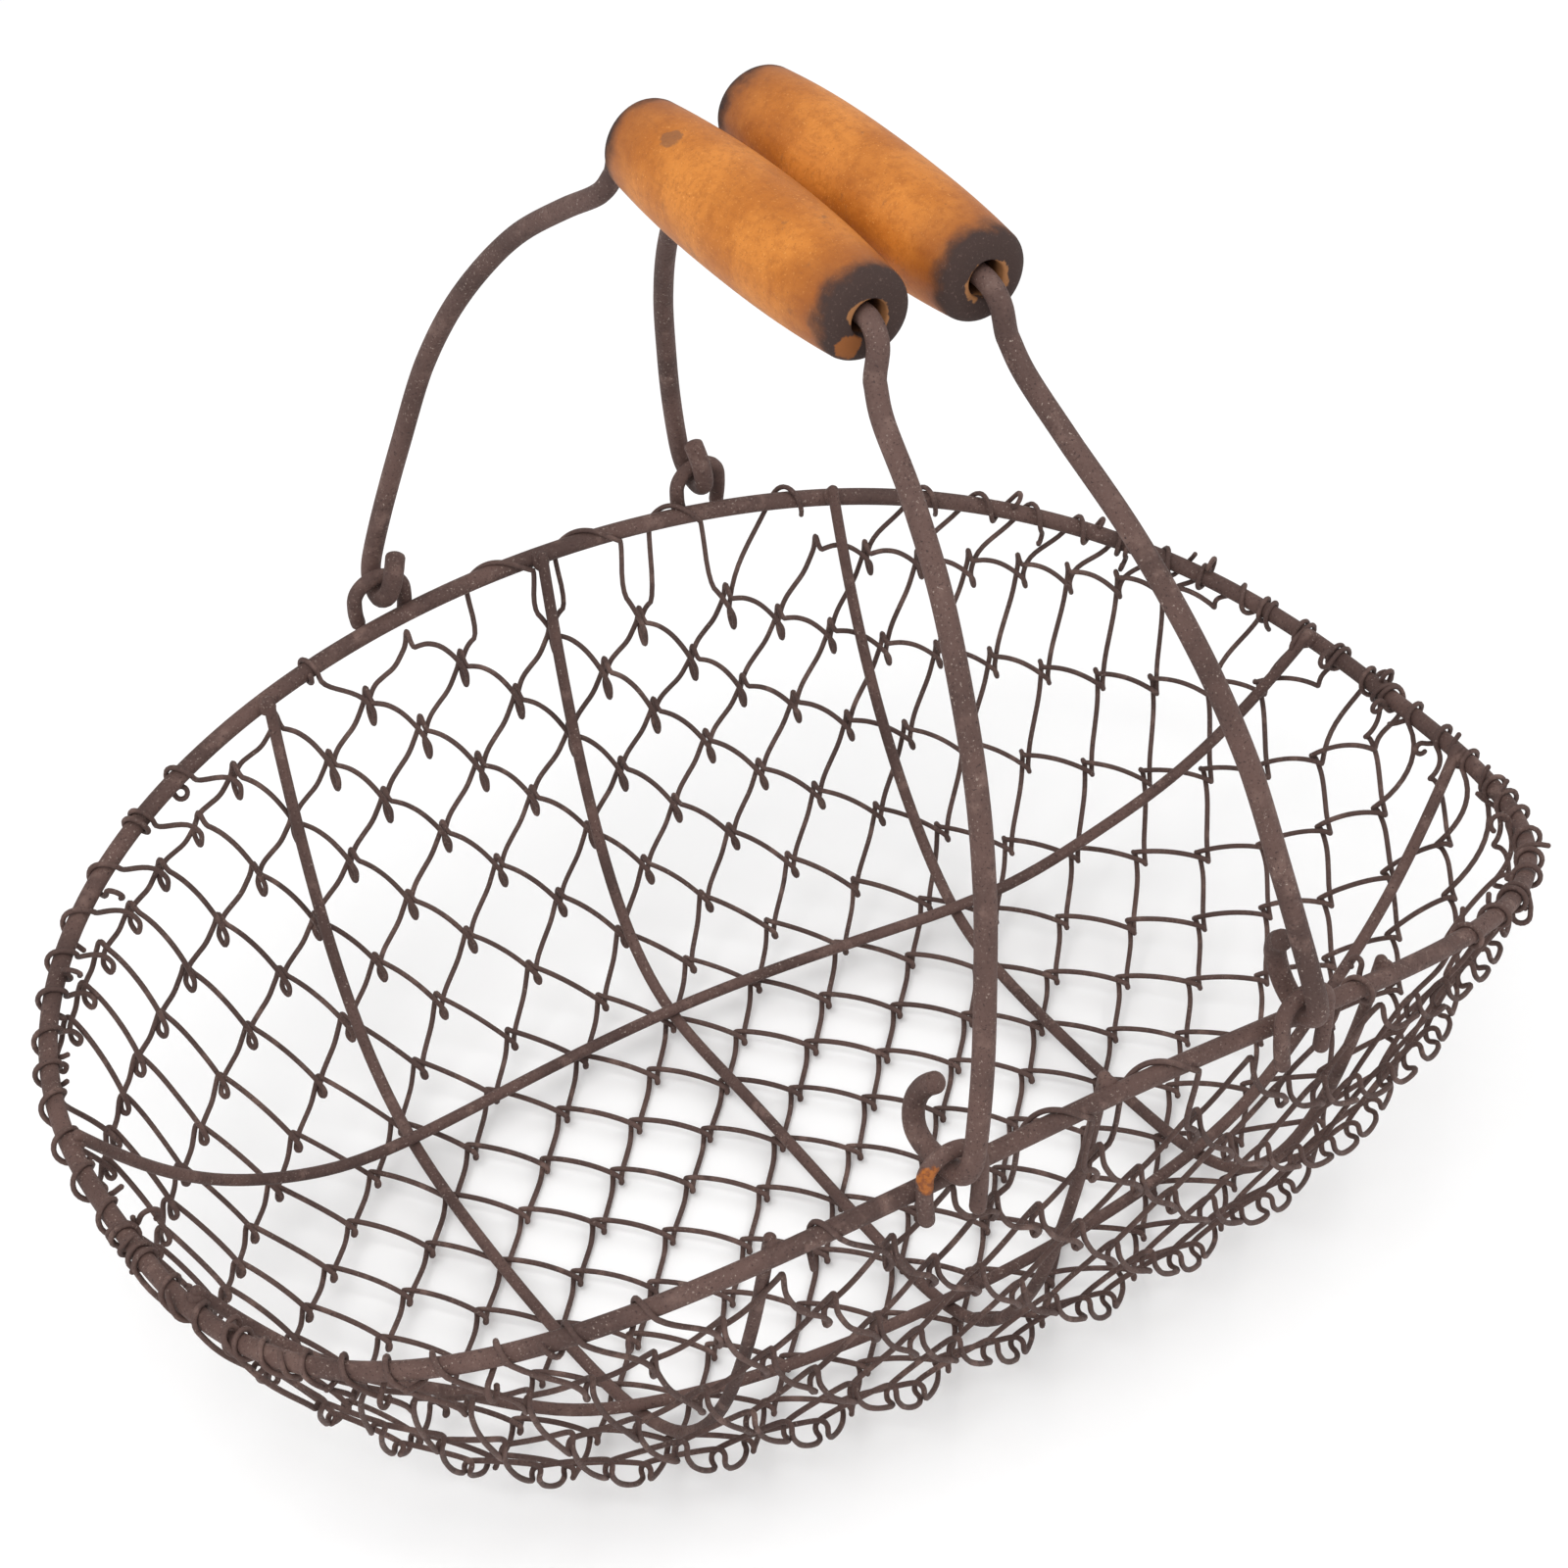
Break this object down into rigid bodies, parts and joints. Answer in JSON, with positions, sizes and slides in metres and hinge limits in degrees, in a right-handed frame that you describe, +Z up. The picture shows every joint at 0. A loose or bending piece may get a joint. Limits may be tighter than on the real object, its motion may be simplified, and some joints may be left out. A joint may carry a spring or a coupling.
{
  "type": "egg collection basket",
  "caption": "Oval egg basket of chain-link wire mesh on a brown wire frame, with two swinging wire bails and turned wooden grips.",
  "frame": {"origin": "on the surface the basket stands on, under the middle of the rim", "axes": "+X along the basket's long side, +Y across it and along the grips, +Z up"},
  "size_m": [0.368, 0.2686, 0.2919],
  "materials": {
    "brown_wire": "matte speckled brown paint",
    "stained_wood": "satin stained wood with dark ends"
  },
  "bodies": {
    "basket": {"rim_hoop": "brown_wire", "cross_rib_left": "brown_wire", "cross_rib_middle": "brown_wire", "cross_rib_right": "brown_wire", "long_rib_front": "brown_wire", "long_rib_back": "brown_wire", "mesh_spiral_01": "brown_wire", "mesh_spiral_02": "brown_wire", "mesh_spiral_03": "brown_wire", "mesh_spiral_04": "brown_wire", "mesh_spiral_05": "brown_wire", "mesh_spiral_06": "brown_wire", "mesh_spiral_07": "brown_wire", "mesh_spiral_08": "brown_wire", "mesh_spiral_09": "brown_wire", "mesh_spiral_10": "brown_wire", "mesh_spiral_11": "brown_wire", "mesh_spiral_12": "brown_wire", "mesh_spiral_13": "brown_wire", "mesh_spiral_14": "brown_wire", "mesh_spiral_15": "brown_wire", "mesh_spiral_16": "brown_wire", "mesh_spiral_17": "brown_wire", "mesh_spiral_18": "brown_wire", "mesh_spiral_19": "brown_wire", "mesh_spiral_20": "brown_wire", "mesh_spiral_21": "brown_wire", "mesh_spiral_22": "brown_wire", "mesh_spiral_23": "brown_wire", "mesh_spiral_24": "brown_wire", "mesh_spiral_25": "brown_wire", "mesh_spiral_26": "brown_wire", "mesh_spiral_27": "brown_wire", "mesh_spiral_28": "brown_wire", "staple_left_front": "brown_wire", "staple_left_back": "brown_wire", "staple_right_front": "brown_wire", "staple_right_back": "brown_wire"},
    "left_bail": {"left_bail": "brown_wire"},
    "right_bail": {"right_bail": "brown_wire"},
    "left_grip": {"left_grip": "stained_wood"},
    "right_grip": {"right_grip": "stained_wood"}
  },
  "joints": [
    {"name": "left_bail_swing", "type": "hinge", "parent": "basket", "child": "left_bail", "pos_m": [-0.0435, 0, 0.12298], "axis": [0, -1, 0], "range_deg": [0, 110]},
    {"name": "right_bail_swing", "type": "hinge", "parent": "basket", "child": "right_bail", "pos_m": [0.0495, 0, 0.12224], "axis": [0, 1, 0], "range_deg": [0, 110]},
    {"name": "left_grip_spin", "type": "hinge", "parent": "left_bail", "child": "left_grip", "pos_m": [-0.0108, 0, 0.27909], "axis": [0, 1, 0], "continuous": true},
    {"name": "right_grip_spin", "type": "hinge", "parent": "right_bail", "child": "right_grip", "pos_m": [0.018, 0, 0.27859], "axis": [0, 1, 0], "continuous": true}
  ]
}
